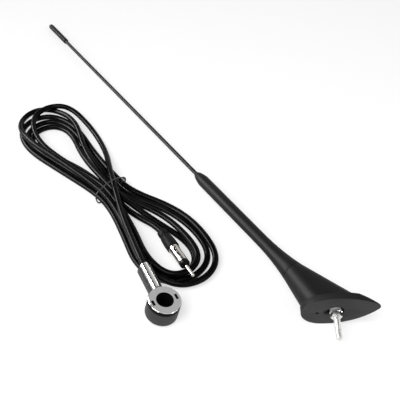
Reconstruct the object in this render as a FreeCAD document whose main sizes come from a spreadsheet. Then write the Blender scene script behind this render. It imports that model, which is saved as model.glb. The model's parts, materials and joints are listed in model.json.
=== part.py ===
import FreeCAD, Part
import math
import os
import Sketcher
from FreeCAD import Placement, Rotation, Vector

# Roof antenna lying on a table with its feeder lead beside it.
# Millimetres and degrees. +Z is up, the table is at Z = 0, and the origin is below
# the middle of the antenna's box. The foot's own frame has X towards its toe and Z
# away from the roof; the mast's frame has Z along the mast, from the roof face up.

SIZES = {
    # Mast
    "mast_lean": 33.6,
    "mast_offset": -2.8,
    "mast_reach": 556.0,
    "seam_reach": 48.3,
    "seam_gap": 0.3,
    "whip_dia": 3.8,
    "cap_dia": 6.1,
    "cap_length": 50.0,
    "cap_socket": 24.0,
    "sleeve_dia": 11.2,
    "sleeve_length": 148.1,
    "cone_length": 11.5,
    "cone_step": 4.0,
    "cone_shoulder_dia": 8.2,
    "cone_lip": 0.6,
    "flare_dia": 18.8,
    "flare_length": 43.6,
    "ferrule_dia": 8.0,
    "ferrule_length": 16.0,
    "ferrule_socket": 11.0,
    "thread_dia": 4.8,
    "thread_pitch": 0.8,
    "thread_turns": 12.5,
    "seal_dia": 12.4,
    "seal_recess": 0.7,
    "fit": 0.05,
    "clearance": 0.3,
    "edge_break": 0.5,
    # Foot
    "gasket_thick": 6.0,
    "toe_thick": 1.2,
    "wedge_start": 19.0,
    "blunt_dia": 34.0,
    "blunt_back": 9.9,
    "toe_dia": 7.6,
    "toe_front": 30.5,
    "side_radius": 48.3,
    "housing_inset": 1.4,
    "housing_toe_dia": 26.0,
    "housing_toe_front": 8.4,
    "housing_side_radius": 90.0,
    "housing_wall": 2.4,
    "neck_solid": 13.0,
    "bush_dia": 9.0,
    "bush_flange_dia": 11.0,
    "bush_flange": 1.6,
    "carrier_thick": 3.0,
    "carrier_inset": 1.5,
    "carrier_toe_inset": 4.5,
    "boss_dia": 9.0,
    "boss_proud": 0.5,
    "stud_dia": 5.0,
    "stud_groove_dia": 4.4,
    "stud_groove": 1.3,
    "stud_reach": 24.0,
    "stud_head_dia": 9.0,
    "stud_head": 2.6,
    "strap_thick": 0.6,
    "strap_width": 5.0,
    "strap_tab": 4.0,
    "recess_dia": 13.0,
    "notch_dia": 7.0,
    "notch_offset": 5.6,
    "notch_depth": 1.0,
    "locator_dia": 2.2,
    "locator_offset": 14.2,
    "locator_depth": 3.0,
    "washer_dia": 10.0,
    "washer_root_dia": 7.8,
    "washer_thick": 0.7,
    "washer_teeth": 8.0,
    "nut_flats": 8.0,
    "nut_thick": 4.0,
    # Ring connector
    "ring_dia": 27.0,
    "ring_hole_dia": 14.3,
    "ring_thick": 1.6,
    "ring_bevel": 0.5,
    "ring_notch": 0.5,
    "ring_notches": 40.0,
    "ring_slot_length": 5.0,
    "ring_slot_width": 2.2,
    "ring_slot_offset": 10.2,
    "ring_slot_turn": 91.0,
    "cup_dia": 27.0,
    "cup_height": 16.0,
    "cup_round": 1.6,
    "cup_neck": 1.0,
    "cup_neck_dia": 25.2,
    "cup_floor": 4.0,
    "ring_stud_hole_dia": 5.6,
    "disc_thick": 0.8,
    "barrel_dia": 7.2,
    "barrel_start": 9.5,
    "barrel_end": 40.0,
    "barrel_height": 13.4,
    "arm_width": 11.0,
    "arm_foot": 7.2,
    "arm_end": 39.0,
    # Radio plug
    "plug_boot_dia": 11.2,
    "plug_boot_rear_dia": 10.0,
    "plug_boot_end": 25.0,
    "collar_dia": 9.2,
    "collar_length": 6.5,
    "collar_neck_dia": 7.8,
    "collar_neck": 1.2,
    "plug_shell_dia": 8.8,
    "plug_shell_wall": 0.8,
    "plug_shell_end": 45.5,
    "plug_shell_seat": 6.0,
    "plug_band": 3.4,
    "plug_band_dia": 9.6,
    "finger_slot_width": 1.6,
    "finger_slot_length": 11.0,
    "finger_slots": 4.0,
    "insulator_end": 49.0,
    "pin_dia": 3.0,
    "pin_stem_dia": 2.4,
    "pin_end": 64.5,
    # Cable
    "cable_dia": 5.6,
    "cable_seat": 9.0,
    "cable_lead_in": 8.0,
    "hank_height": 10.6,
    "tie_wire": 1.6,
    "tie_width": 2.2,
    "tie_span": 34.0,
}

# How the antenna lies: turned on the table, rolled on its rim.
LIE_YAW = -0.34
LIE_ROLL = -12.27
# How the ring connector leans, and which way its barrel points.
RING_LEAN = 12.7
RING_TURN = 117.0
RING_PLACE = Vector(-1.9, -212.2, 0)
# The radio plug runs from its collar to its pin's end.
PLUG_START = Vector(-4.3, -130.1, 9.5)
PLUG_END = Vector(24.1, -187.1, 18.5)
# Middle of the tie, and the way the hank runs through it.
TIE_PLACE = Vector(-55.9, -73.2, 0)
TIE_TURN = -40.5

# The hank's outer edge, anticlockwise from above, and its open loops.
HANK_EDGE = [
    (-166, 33), (-160, 6), (-145, -15), (-125, -36), (-105, -52), (-85, -66), (-68, -82), (-56, -98),
    (-49, -118), (-42, -139), (-32, -161), (-19, -179), (-3, -191), (17, -195), (34, -190), (46, -175),
    (49, -155), (45, -133), (32, -112), (14, -95), (-8, -81), (-28, -71), (-44, -61), (-55, -44),
    (-62, -18), (-70, 6), (-84, 32), (-100, 50), (-119, 59), (-141, 62), (-158, 55),
]
HANK_LOOPS = [
    [
        (-139, 15), (-136, 5), (-127, -7), (-110, -20), (-91, -34), (-85, -37), (-91, -26), (-103, -5),
        (-113, 13), (-124, 24), (-134, 23),
    ],
    [
        (-112, 41), (-100, 24), (-89, 5), (-78, -15), (-69, -34), (-71, -20), (-78, -2), (-90, 18),
        (-102, 36),
    ],
    [
        (-38, -99), (-33, -113), (-26, -131), (-15, -150), (-4, -166), (5, -174), (14, -175), (21, -169),
        (23, -157), (18, -142), (8, -127), (-8, -112), (-24, -102),
    ],
]

# The cable's two free ends, each from inside the hank to its fitting.
RING_TAIL = [(-49, -84, 7), (-44, -100, 12.5), (-38, -120, 13.8), (-31, -139, 14.5)]
PLUG_TAIL = [(-40, -95, 5), (-27, -108, 6)]


class Size:
    """A number of the model together with the sheet expression that gives it."""

    def __init__(self, value, text):
        self.value = value
        self.text = text

    def __float__(self):
        return float(self.value)

    def __add__(self, other):
        return Size(self.value + float(other), f"({self.text} + {text_of(other)})")

    def __sub__(self, other):
        return Size(self.value - float(other), f"({self.text} - {text_of(other)})")

    def __mul__(self, other):
        return Size(self.value * float(other), f"({self.text} * {text_of(other)})")

    def __truediv__(self, other):
        return Size(self.value / float(other), f"({self.text} / {text_of(other)})")

    def __neg__(self):
        return Size(-self.value, f"(-1 * {self.text})")

    def sine(self):
        return Size(math.sin(math.radians(self.value)), f"sin({self.text})")

    def cosine(self):
        return Size(math.cos(math.radians(self.value)), f"cos({self.text})")


def text_of(number):
    return number.text if isinstance(number, Size) else repr(float(number))


def make_sheet(doc):
    """Writes every driving dimension to the sheet, one aliased cell each."""
    sheet = doc.addObject("Spreadsheet::Sheet", "Sizes")
    for row, (alias, value) in enumerate(SIZES.items(), start=1):
        sheet.set(f"A{row}", alias)
        sheet.set(f"B{row}", str(value))
        sheet.setAlias(f"B{row}", alias)
    doc.recompute()
    return {alias: Size(float(sheet.get(alias)), f"Sizes.{alias}") for alias in SIZES}


doc = FreeCAD.newDocument("car_antenna")
size = make_sheet(doc)
nodes = []


def bind(target, path, value):
    """Sets a property of a feature from the sheet."""
    target.setExpression(path, text_of(value))


def new_body(name):
    body = doc.addObject("PartDesign::Body", name)
    body.Label = name
    nodes.append(body)
    return body


def origin_feature(body, role):
    return next(item for item in body.Origin.OriginFeatures if item.Role == role)


def new_sketch(body, role="XY_Plane", lift=0):
    """A sketch on one of the body's own planes, lifted along its normal by a size."""
    sketch = body.newObject("Sketcher::SketchObject", body.Name + "_sketch")
    sketch.AttachmentSupport = (origin_feature(body, role), [""])
    sketch.MapMode = "FlatFace"
    if isinstance(lift, Size):
        bind(sketch, "AttachmentOffset.Base.z", lift)
    return sketch


def fix_point(sketch, geometry, point, x, y):
    """Holds a sketch point at the coordinates x, y taken from the sheet."""
    for kind, axis, value in (("DistanceX", -2, x), ("DistanceY", -1, y)):
        if float(value) == 0:
            sketch.addConstraint(Sketcher.Constraint("PointOnObject", geometry, point, axis))
            continue
        number = sketch.addConstraint(Sketcher.Constraint(kind, -1, 1, geometry, point, float(value)))
        bind(sketch, f"Constraints[{number}]", value)


def tangent_arc(before, start, end):
    """An arc from start to end that leaves start in the direction from before."""
    along = (start - before).normalize()
    normal = Vector(-along.y, along.x, 0)
    chord = end - start
    radius = chord.dot(chord) / (2 * chord.dot(normal))
    centre = start + normal * radius
    first = math.atan2(start.y - centre.y, start.x - centre.x)
    last = math.atan2(end.y - centre.y, end.x - centre.x)
    circle = Part.Circle(centre, Vector(0, 0, 1), abs(radius))
    forward = radius > 0
    return Part.ArcOfCircle(circle, *((first, last) if forward else (last, first))), forward


def draw_profile(sketch, corners):
    """Draws a closed outline; a corner marked "arc" starts an arc tangent to the line before it."""
    places = [Vector(float(corner[0]), float(corner[1]), 0) for corner in corners]
    count = len(corners)
    first = sketch.GeometryCount
    ends = []
    for index, corner in enumerate(corners):
        start = places[index]
        end = places[(index + 1) % count]
        forward = True
        if len(corner) > 2:
            line, forward = tangent_arc(places[index - 1], start, end)
        else:
            line = Part.LineSegment(start, end)
        sketch.addGeometry(line, False)
        ends.append((1, 2) if forward else (2, 1))
    for index, corner in enumerate(corners):
        before = (index - 1) % count
        joint = "Tangent" if len(corner) > 2 else "Coincident"
        rule = Sketcher.Constraint(joint, first + before, ends[before][1], first + index, ends[index][0])
        sketch.addConstraint(rule)
    for index, corner in enumerate(corners):
        fix_point(sketch, first + index, ends[index][0], corner[0], corner[1])


def draw_circle(sketch, diameter, x=0, y=0):
    circle = Part.Circle(Vector(float(x), float(y), 0), Vector(0, 0, 1), float(diameter) / 2)
    number = sketch.addGeometry(circle, False)
    fix_point(sketch, number, 3, x, y)
    rule = sketch.addConstraint(Sketcher.Constraint("Diameter", number, float(diameter)))
    bind(sketch, f"Constraints[{rule}]", diameter)


class Egg:
    """An egg-shaped outline of four tangent arcs, symmetrical about the sketch's X axis."""

    def __init__(self, blunt_x, blunt_radius, toe_x, toe_radius, side_radius):
        self.blunt_x = blunt_x
        self.blunt_radius = blunt_radius
        self.toe_x = toe_x
        self.toe_radius = toe_radius
        self.side_radius = side_radius
        reach = toe_x - blunt_x
        self.to_blunt = side_radius - blunt_radius
        to_toe = side_radius - toe_radius
        self.side_x = (self.to_blunt * self.to_blunt - to_toe * to_toe + reach * reach) / (reach * 2)
        self.blunt_cosine = -self.side_x / self.to_blunt
        self.toe_cosine = (reach - self.side_x) / to_toe

    def turns(self):
        """The four angles, anticlockwise, at which one arc of the outline gives way to the next."""
        blunt = math.acos(float(self.blunt_cosine))
        toe = math.acos(float(self.toe_cosine))
        return [blunt, 2 * math.pi - blunt, 2 * math.pi - toe, 2 * math.pi + toe, 2 * math.pi + blunt]

    def draw(self, sketch):
        turns = self.turns()
        side_x = float(self.blunt_x) + float(self.side_x)
        side_y = float(self.to_blunt) * math.sin(turns[0])
        arcs = [
            (float(self.blunt_x), 0, self.blunt_radius),
            (side_x, side_y, self.side_radius),
            (float(self.toe_x), 0, self.toe_radius),
            (side_x, -side_y, self.side_radius),
        ]
        first = sketch.GeometryCount
        for (x, y, radius), start, end in zip(arcs, turns, turns[1:]):
            circle = Part.Circle(Vector(x, y, 0), Vector(0, 0, 1), float(radius))
            sketch.addGeometry(Part.ArcOfCircle(circle, start, end), False)
        for index in range(4):
            sketch.addConstraint(Sketcher.Constraint("Tangent", first + index, 2, first + (index + 1) % 4, 1))
        fix_point(sketch, first, 3, self.blunt_x, 0)
        fix_point(sketch, first + 2, 3, self.toe_x, 0)
        for index, (x, y, radius) in enumerate(arcs):
            rule = sketch.addConstraint(Sketcher.Constraint("Radius", first + index, float(radius)))
            bind(sketch, f"Constraints[{rule}]", radius)


def draw_round_section(sketch, diameter, egg):
    """A circle of four arcs that end where the egg's own arcs end, so that a loft pairs them."""
    radius = diameter / 2
    turns = egg.turns()
    first = sketch.GeometryCount
    for start, end in zip(turns, turns[1:]):
        circle = Part.Circle(Vector(0, 0, 0), Vector(0, 0, 1), float(radius))
        sketch.addGeometry(Part.ArcOfCircle(circle, start, end), False)
    for index in range(4):
        sketch.addConstraint(Sketcher.Constraint("Coincident", first + index, 2, first + (index + 1) % 4, 1))
    for index in range(3):
        sketch.addConstraint(Sketcher.Constraint("Coincident", first + index, 3, -1, 1))
    sketch.addConstraint(Sketcher.Constraint("PointOnObject", first + 3, 3, -1))
    rule = sketch.addConstraint(Sketcher.Constraint("Radius", first, float(radius)))
    bind(sketch, f"Constraints[{rule}]", radius)
    cosines = (egg.blunt_cosine, egg.blunt_cosine, egg.toe_cosine, egg.toe_cosine)
    for index, cosine in enumerate(cosines):
        across = radius * cosine
        rule = sketch.addConstraint(Sketcher.Constraint("DistanceX", -1, 1, first + index, 1, float(across)))
        bind(sketch, f"Constraints[{rule}]", across)


def turned(name, corners):
    """A body turned about its Z axis from a profile of radius and height."""
    body = new_body(name)
    sketch = new_sketch(body, "XZ_Plane")
    draw_profile(sketch, corners)
    turn = body.newObject("PartDesign::Revolution", name + "_turn")
    turn.Profile = sketch
    turn.ReferenceAxis = (sketch, ["V_Axis"])
    turn.Angle = 360.0
    body.Tip = turn
    return body


def padded(body, sketch, length):
    pad = body.newObject("PartDesign::Pad", body.Name + "_pad")
    pad.Profile = sketch
    bind(pad, "Length", length)
    body.Tip = pad
    return pad


def pocketed(body, sketch, length=None, reverse=False, both=False):
    """Cuts a sketch into the body: to a depth, or through all of it."""
    cut = body.newObject("PartDesign::Pocket", body.Name + "_cut")
    cut.Profile = sketch
    cut.Reversed = reverse
    if length is None:
        cut.Type = 1
        cut.Midplane = both
    else:
        bind(cut, "Length", length)
    body.Tip = cut
    return cut


def patterned(body, feature, count):
    """Repeats a feature round the body's Z axis."""
    pattern = body.newObject("PartDesign::PolarPattern", feature.Name + "_pattern")
    pattern.Originals = [feature]
    pattern.Axis = (origin_feature(body, "Z_Axis"), [""])
    pattern.Angle = 360.0
    bind(pattern, "Occurrences", count)
    body.Tip = pattern
    return pattern


def lofted(body, kind, first, last):
    """A straight-sided loft between two outlines, added to the body or cut from it."""
    loft = body.newObject(kind, body.Name + "_loft")
    loft.Profile = first
    loft.Sections = [last]
    loft.Ruled = True
    body.Tip = loft
    return loft


def rectangle(left, right, low, high):
    return [(left, low), (right, low), (right, high), (left, high)]


def mast_point(reach, aside=0):
    """A point of the mast's middle plane in the foot's frame: along the mast, then square to it."""
    lean = size["mast_lean"]
    x = size["mast_offset"] - reach * lean.sine()
    z = reach * lean.cosine()
    if isinstance(aside, Size):
        x = x + aside * lean.cosine()
        z = z + aside * lean.sine()
    return x, z


def square_to_mast(sketch, reach):
    """Puts a sketch of the foot square to the mast, its middle on the mast's axis."""
    x, z = mast_point(reach)
    sketch.AttachmentOffset = Placement(Vector(), Rotation(Vector(0, -1, 0), float(size["mast_lean"])))
    bind(sketch, "AttachmentOffset.Base.x", x)
    bind(sketch, "AttachmentOffset.Base.z", z)
    bind(sketch, "AttachmentOffset.Rotation.Angle", size["mast_lean"])


# Shared heights along the mast
fit = size["fit"]
clearance = size["clearance"]
edge = size["edge_break"]
whip_radius = size["whip_dia"] / 2
whip_bore = whip_radius + fit
seam = size["seam_reach"]
seal_floor = seam - size["seal_recess"]
sleeve_foot = seam + size["seam_gap"]
sleeve_top = sleeve_foot + size["sleeve_length"]
ferrule_top = sleeve_foot + size["ferrule_length"]
whip_foot = ferrule_top - size["ferrule_socket"]
cap_foot = size["mast_reach"] - size["cap_length"]
cap_floor = cap_foot + size["cap_socket"]
neck_roof = seam - size["neck_solid"]
bush_foot = neck_roof - fit - size["bush_flange"]
thread_radius = size["thread_dia"] / 2

# Shared sizes of the lead
cable_bore = size["cable_dia"] / 2 + fit
barrel_start = size["barrel_start"]

# Shared heights along the stud
gasket_top = size["gasket_thick"]
carrier_top = gasket_top + size["carrier_thick"]
stud_head_top = carrier_top + size["stud_head"]
stud_bore = size["stud_dia"] + fit * 2
boss_face = -size["boss_proud"]
washer_face = boss_face - size["washer_thick"]
nut_face = washer_face - size["nut_thick"]


def make_tip_cap():
    radius = size["cap_dia"] / 2
    return turned("tip_cap", [
        (whip_bore, cap_foot),
        (radius - edge, cap_foot),
        (radius, cap_foot + edge),
        (radius, size["mast_reach"] - radius, "arc"),
        (0, size["mast_reach"]),
        (0, cap_floor),
        (whip_bore, cap_floor),
    ])


def make_whip_rod():
    return turned("whip_rod", rectangle(0, whip_radius, whip_foot, cap_floor))


def make_mast_sleeve():
    radius = size["sleeve_dia"] / 2
    pocket = size["ferrule_dia"] / 2 + fit
    return turned("mast_sleeve", [
        (whip_bore, sleeve_top),
        (whip_radius + size["cone_lip"], sleeve_top),
        (size["cone_shoulder_dia"] / 2, sleeve_top - size["cone_step"]),
        (radius, sleeve_top - size["cone_length"]),
        (radius, sleeve_foot + size["flare_length"], "arc"),
        (size["flare_dia"] / 2, sleeve_foot),
        (pocket, sleeve_foot),
        (pocket, ferrule_top),
        (whip_bore, ferrule_top),
    ])


def make_mast_ferrule():
    thread_end = sleeve_foot - size["thread_pitch"] * size["thread_turns"]
    return turned("mast_ferrule", [
        (0, thread_end),
        (thread_radius - edge, thread_end),
        (thread_radius, thread_end + edge),
        (thread_radius, sleeve_foot),
        (size["ferrule_dia"] / 2, sleeve_foot),
        (size["ferrule_dia"] / 2, ferrule_top),
        (whip_bore, ferrule_top),
        (whip_bore, whip_foot),
        (0, whip_foot),
    ])


def make_mast_seal():
    bore = thread_radius + clearance
    return turned("mast_seal", rectangle(bore, size["seal_dia"] / 2, seal_floor, sleeve_foot))


def make_foot_bush():
    bore = thread_radius + fit
    flange_top = neck_roof - fit
    return turned("foot_bush", [
        (bore, bush_foot),
        (size["bush_flange_dia"] / 2, bush_foot),
        (size["bush_flange_dia"] / 2, flange_top),
        (size["bush_dia"] / 2, flange_top),
        (size["bush_dia"] / 2, seal_floor),
        (bore, seal_floor),
    ])


def housing_egg(inset, toe_back=0):
    """The housing's base outline, moved inwards all round and back at the toe."""
    return Egg(
        -size["blunt_back"],
        size["blunt_dia"] / 2 - size["housing_inset"] - inset,
        size["housing_toe_front"] - toe_back,
        size["housing_toe_dia"] / 2 - inset,
        size["housing_side_radius"] - inset,
    )


def draw_housing_ends(body, inset, reach):
    """Sketches of the housing's egg-shaped base and of its round end square to the mast."""
    egg = housing_egg(inset)
    base = new_sketch(body, lift=gasket_top)
    egg.draw(base)
    neck = new_sketch(body)
    square_to_mast(neck, reach)
    draw_round_section(neck, size["flare_dia"] - inset * 2, egg)
    return base, neck


def make_foot_housing():
    """Hollow moulding that leans from an egg-shaped base to the round neck under the mast."""
    body = new_body("foot_housing")
    outside = draw_housing_ends(body, Size(0, "0"), seam)
    lofted(body, "PartDesign::AdditiveLoft", *outside)
    inside = draw_housing_ends(body, size["housing_wall"], neck_roof)
    lofted(body, "PartDesign::SubtractiveLoft", *inside)
    seat = new_sketch(body)
    square_to_mast(seat, seam)
    draw_circle(seat, size["seal_dia"] + clearance * 2)
    pocketed(body, seat, size["seal_recess"])
    bore = new_sketch(body)
    square_to_mast(bore, seam)
    draw_circle(bore, size["bush_dia"] + fit * 2)
    pocketed(body, bore, size["neck_solid"] + edge)
    return body


def make_carrier_plate():
    """Cast plate inside the housing, with the boss that carries the stud through the gasket."""
    body = new_body("carrier_plate")
    plate = new_sketch(body, lift=gasket_top)
    housing_egg(size["housing_wall"] + size["carrier_inset"], size["carrier_toe_inset"]).draw(plate)
    padded(body, plate, size["carrier_thick"])
    boss = new_sketch(body, lift=boss_face)
    draw_circle(boss, size["boss_dia"])
    padded(body, boss, gasket_top - boss_face)
    hole = new_sketch(body, lift=boss_face)
    draw_circle(hole, stud_bore)
    pocketed(body, hole, reverse=True)
    return body


def make_mounting_stud():
    """Stud with its head on the carrier plate and a groove at the nut's outer face."""
    radius = size["stud_dia"] / 2
    groove = size["stud_groove_dia"] / 2
    groove_end = nut_face - clearance
    groove_start = groove_end + size["stud_groove"]
    head = size["stud_head_dia"] / 2
    stud_end = -size["stud_reach"]
    return turned("mounting_stud", [
        (0, stud_end),
        (radius - edge, stud_end),
        (radius, stud_end + edge),
        (radius, groove_end),
        (groove, groove_end),
        (groove, groove_start),
        (radius, groove_start),
        (radius, carrier_top),
        (head, carrier_top),
        (head, stud_head_top),
        (0, stud_head_top),
    ])


def make_contact_strap():
    """Bent strip from under the bush to the top of the stud's head."""
    body = new_body("contact_strap")
    thick = size["strap_thick"]
    tab = size["strap_tab"]
    under = bush_foot - thick
    tab_top = stud_head_top + thick
    sketch = new_sketch(body, "XZ_Plane")
    draw_profile(sketch, [
        mast_point(bush_foot, -tab),
        mast_point(bush_foot, tab),
        (-tab + thick, tab_top),
        (tab, tab_top),
        (tab, stud_head_top),
        (-tab, stud_head_top),
        mast_point(under, tab - thick * 2),
        mast_point(under, -tab),
    ])
    strip = padded(body, sketch, size["strap_width"])
    strip.Midplane = True
    return body


def make_foot_gasket():
    """Rubber pad under the housing: a wedge at the toe, a recess round the boss, a locating hole."""
    body = new_body("foot_gasket")
    outline = new_sketch(body)
    egg = Egg(
        -size["blunt_back"],
        size["blunt_dia"] / 2,
        size["toe_front"],
        size["toe_dia"] / 2,
        size["side_radius"],
    )
    egg.draw(outline)
    padded(body, outline, gasket_top)
    toe_end = size["toe_front"] + size["toe_dia"] / 2
    past_toe = toe_end + clearance
    above = gasket_top + clearance
    wedge = new_sketch(body, "XZ_Plane")
    draw_profile(wedge, [
        (size["wedge_start"], gasket_top),
        (toe_end, size["toe_thick"]),
        (past_toe, size["toe_thick"]),
        (past_toe, above),
        (size["wedge_start"], above),
    ])
    pocketed(body, wedge, both=True)
    for diameter, offset, depth in (
        (size["recess_dia"], 0, None),
        (size["notch_dia"], -size["notch_offset"], size["notch_depth"]),
        (size["locator_dia"], -size["locator_offset"], size["locator_depth"]),
    ):
        hole = new_sketch(body)
        draw_circle(hole, diameter, offset)
        pocketed(body, hole, depth, reverse=True)
    return body


def make_lock_washer():
    """Star washer: a ring with outside teeth."""
    body = new_body("lock_washer")
    ring = new_sketch(body, lift=washer_face)
    draw_circle(ring, size["washer_root_dia"])
    draw_circle(ring, stud_bore + clearance)
    padded(body, ring, size["washer_thick"])
    root = size["washer_root_dia"] / 2 - clearance
    tip = size["washer_dia"] / 2
    half_root = size["washer_root_dia"] / size["washer_teeth"]
    half_tip = half_root * 0.6
    tooth = new_sketch(body, lift=washer_face)
    draw_profile(tooth, [(root, -half_root), (tip, -half_tip), (tip, half_tip), (root, half_root)])
    patterned(body, padded(body, tooth, size["washer_thick"]), size["washer_teeth"])
    return body


def make_hex_nut():
    """Hexagon nut with its corners turned down at the outer face."""
    body = new_body("hex_nut")
    half = size["nut_flats"] / 2
    corner = half / math.cos(math.radians(30))
    outline = new_sketch(body, lift=nut_face)
    draw_profile(outline, [
        (corner, 0),
        (corner / 2, half),
        (-corner / 2, half),
        (-corner, 0),
        (-corner / 2, -half),
        (corner / 2, -half),
    ])
    draw_circle(outline, stud_bore)
    padded(body, outline, size["nut_thick"])
    bevel = new_sketch(body, "XZ_Plane")
    past = corner + clearance
    draw_profile(bevel, [(half, nut_face), (past, nut_face), (past, nut_face + (past - half) / 2)])
    groove = body.newObject("PartDesign::Groove", "hex_nut_bevel")
    groove.Profile = bevel
    groove.ReferenceAxis = (bevel, ["V_Axis"])
    groove.Angle = 360.0
    body.Tip = groove
    return body


def make_ring_body():
    """Moulded cup of the ring connector, with an arm under the crimp barrel."""
    radius = size["cup_dia"] / 2
    neck = size["cup_neck_dia"] / 2
    rim = size["cup_height"] - size["cup_neck"]
    body = turned("ring_body", [
        (0, 0),
        (radius - size["cup_round"], 0, "arc"),
        (radius, size["cup_round"]),
        (radius, rim),
        (neck, rim),
        (neck, size["cup_height"]),
        (0, size["cup_height"]),
    ])
    half = size["arm_width"] / 2
    arm = new_sketch(body, "YZ_Plane")
    draw_profile(arm, rectangle(-half, half, size["arm_foot"], size["barrel_height"]))
    padded(body, arm, size["arm_end"])
    trough = new_sketch(body, "YZ_Plane", lift=barrel_start)
    draw_circle(trough, size["barrel_dia"] + fit * 2, 0, size["barrel_height"])
    pocketed(body, trough, reverse=True)
    recess = new_sketch(body, lift=size["cup_floor"])
    draw_circle(recess, size["ring_hole_dia"])
    pocketed(body, recess, reverse=True)
    hole = new_sketch(body)
    draw_circle(hole, size["ring_stud_hole_dia"])
    pocketed(body, hole, reverse=True)
    return body


def make_ring_contact():
    """Plated ring on the cup, one piece with the barrel that is crimped on the cable."""
    body = new_body("ring_contact")
    ring = new_sketch(body, lift=size["cup_height"])
    draw_circle(ring, size["ring_dia"])
    draw_circle(ring, size["ring_hole_dia"])
    padded(body, ring, size["ring_thick"])
    radius = size["ring_dia"] / 2
    top = size["cup_height"] + size["ring_thick"]
    past = radius + clearance
    lip = new_sketch(body, "XZ_Plane")
    bevel_foot = top - size["ring_bevel"] - clearance
    draw_profile(lip, [(radius - size["ring_bevel"], top), (past, top), (past, bevel_foot)])
    bevel = body.newObject("PartDesign::Groove", "ring_contact_bevel")
    bevel.Profile = lip
    bevel.ReferenceAxis = (lip, ["V_Axis"])
    bevel.Angle = 360.0
    body.Tip = bevel
    depth = size["ring_notch"]
    notch = new_sketch(body, lift=top)
    draw_profile(notch, [(radius - depth, 0), (past, -depth - clearance), (past, depth + clearance)])
    patterned(body, pocketed(body, notch), size["ring_notches"])
    slot = new_sketch(body, lift=top)
    slot.AttachmentOffset = Placement(Vector(), Rotation(Vector(0, 0, 1), float(size["ring_slot_turn"])))
    bind(slot, "AttachmentOffset.Base.z", top)
    bind(slot, "AttachmentOffset.Rotation.Angle", size["ring_slot_turn"])
    middle = size["ring_slot_offset"]
    half_width = size["ring_slot_width"] / 2
    half_length = size["ring_slot_length"] / 2
    draw_profile(slot, rectangle(middle - half_width, middle + half_width, -half_length, half_length))
    cut = pocketed(body, slot, size["ring_thick"])
    patterned(body, cut, Size(2, "2"))
    barrel = new_sketch(body, "YZ_Plane", lift=barrel_start)
    draw_circle(barrel, size["barrel_dia"], 0, size["barrel_height"])
    draw_circle(barrel, cable_bore * 2, 0, size["barrel_height"])
    padded(body, barrel, size["barrel_end"] - barrel_start)
    return body


def make_contact_disc():
    floor = size["cup_floor"]
    hole = size["ring_stud_hole_dia"] / 2
    rim = size["ring_hole_dia"] / 2 - fit
    return turned("contact_disc", rectangle(hole, rim, floor, floor + size["disc_thick"]))


def make_plug_boot():
    boot = size["plug_boot_dia"] / 2
    collar = size["collar_dia"] / 2
    neck_end = size["collar_length"] + size["collar_neck"]
    end = size["plug_boot_end"]
    seat = end - size["plug_shell_seat"]
    shell = size["plug_shell_dia"] / 2 + fit
    return turned("plug_boot", [
        (cable_bore, 0),
        (collar - edge, 0),
        (collar, edge),
        (collar, size["collar_length"]),
        (size["collar_neck_dia"] / 2, neck_end),
        (size["plug_boot_rear_dia"] / 2, neck_end + size["collar_neck"]),
        (boot, (neck_end + end) / 2),
        (boot, end - edge),
        (boot - edge, end),
        (shell, end),
        (shell, seat),
        (0, seat),
        (0, size["cable_seat"]),
        (cable_bore, size["cable_seat"]),
    ])


def make_plug_sleeve():
    """Plated outer contact with a rear band and long windows between its spring fingers."""
    radius = size["plug_shell_dia"] / 2
    inner = radius - size["plug_shell_wall"]
    seat = size["plug_boot_end"] - size["plug_shell_seat"]
    band = size["plug_band_dia"] / 2
    band_end = size["plug_boot_end"] + size["plug_band"]
    body = turned("plug_sleeve", [
        (inner, seat),
        (radius, seat),
        (radius, size["plug_boot_end"]),
        (band, size["plug_boot_end"]),
        (band, band_end - edge),
        (radius, band_end),
        (radius, size["plug_shell_end"] - edge),
        (radius - edge, size["plug_shell_end"]),
        (inner, size["plug_shell_end"]),
    ])
    half = size["finger_slot_width"] / 2
    slot_start = band_end + edge
    window = new_sketch(body, "XZ_Plane")
    draw_profile(window, rectangle(-half, half, slot_start, slot_start + size["finger_slot_length"]))
    patterned(body, pocketed(body, window), size["finger_slots"])
    return body


def make_plug_insulator():
    radius = size["plug_shell_dia"] / 2
    inside = radius - size["plug_shell_wall"] - fit
    bore = size["pin_stem_dia"] / 2 + fit
    seat = size["plug_boot_end"] - size["plug_shell_seat"]
    end = size["insulator_end"]
    return turned("plug_insulator", [
        (bore, seat),
        (inside, seat),
        (inside, size["plug_shell_end"]),
        (radius - fit, size["plug_shell_end"]),
        (radius - fit, end - edge),
        (radius - edge, end),
        (bore, end),
    ])


def make_plug_pin():
    """Round-ended pin whose shoulder stands on the insulator, its stem inside."""
    radius = size["pin_dia"] / 2
    stem = size["pin_stem_dia"] / 2
    shoulder = size["insulator_end"]
    end = size["pin_end"]
    start = size["plug_boot_end"] - size["plug_shell_seat"]
    return turned("plug_pin", [
        (0, start),
        (stem, start),
        (stem, shoulder),
        (radius, shoulder),
        (radius, end - radius, "arc"),
        (0, end),
    ])


def rounded_route(points, closed=False):
    """Straight runs through the points joined by tangent arcs as large as the runs allow."""
    count = len(points)
    corners = range(count) if closed else range(1, count - 1)
    bends = {}
    for index in corners:
        here = points[index]
        back = points[index - 1] - here
        ahead = points[(index + 1) % count] - here
        turn = math.pi - back.getAngle(ahead)
        trim = 0.45 * min(back.Length, ahead.Length)
        start = here + back.normalize() * trim
        end = here + ahead.normalize() * trim
        radius = trim / math.tan(turn / 2)
        inward = (back + ahead).normalize()
        middle = here + inward * (radius / math.cos(turn / 2) - radius)
        bends[index] = (start, middle, end, radius)
    edges = []
    for index in range(count if closed else count - 1):
        after = (index + 1) % count
        start = bends[index][2] if index in bends else points[index]
        end = bends[after][0] if after in bends else points[after]
        edges.append(Part.LineSegment(start, end).toShape())
        if after in bends:
            edges.append(Part.Arc(*bends[after][:3]).toShape())
    return Part.Wire(edges), [round(bend[3]) for bend in bends.values()]


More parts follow.
